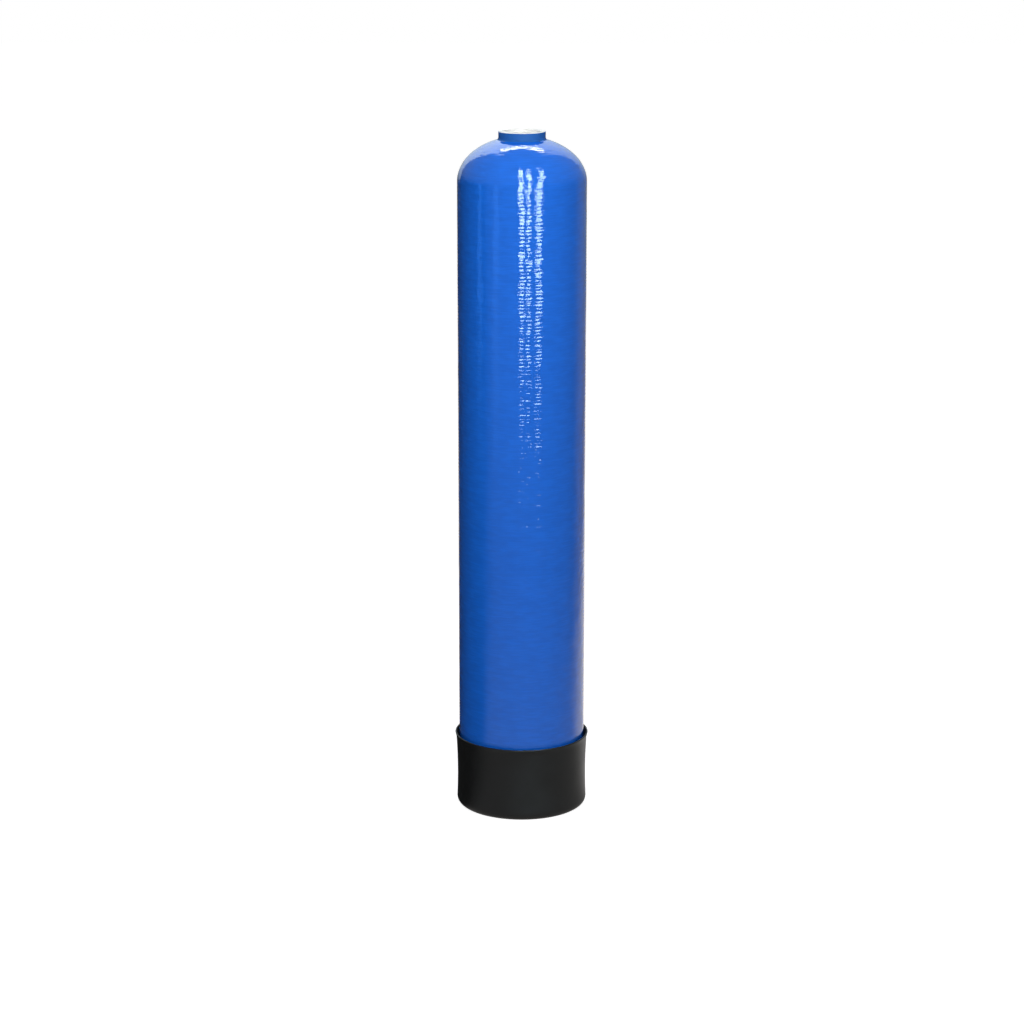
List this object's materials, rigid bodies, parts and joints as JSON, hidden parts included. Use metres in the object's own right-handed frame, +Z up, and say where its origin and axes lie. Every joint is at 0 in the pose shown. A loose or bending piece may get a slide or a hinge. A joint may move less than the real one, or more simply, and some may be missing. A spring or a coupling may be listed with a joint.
{
  "type": "filter tank",
  "caption": "Tall wound glass-fibre pressure tank with a threaded top neck, standing in a moulded boot, with a riser tube and bottom strainer inside.",
  "frame": {"origin": "middle of the flat face under the boot, on the tank's axis", "axes": "+Z up along the tank's axis, from the boot to the threaded neck"},
  "size_m": [0.272, 0.272, 1.38],
  "materials": {
    "wound_fibre": "blue pigmented epoxy resin over wound glass strands, glossy, with fine level ridges",
    "liner": "natural polyethylene, waxy and slightly see-through",
    "neck_insert": "moulded natural plastic, satin, with the wall's blue resin carried up over its collar",
    "boot": "black moulded polyethylene, satin with a fine grain",
    "strainer": "dark grey moulded ABS",
    "riser": "white extruded PVC"
  },
  "bodies": {
    "root": {"wound_wall": "wound_fibre", "liner": "liner", "neck_insert": "neck_insert", "base_boot": "boot", "strainer_basket": "strainer", "strainer_cap": "strainer", "riser_tube": "riser"}
  },
  "joints": []
}
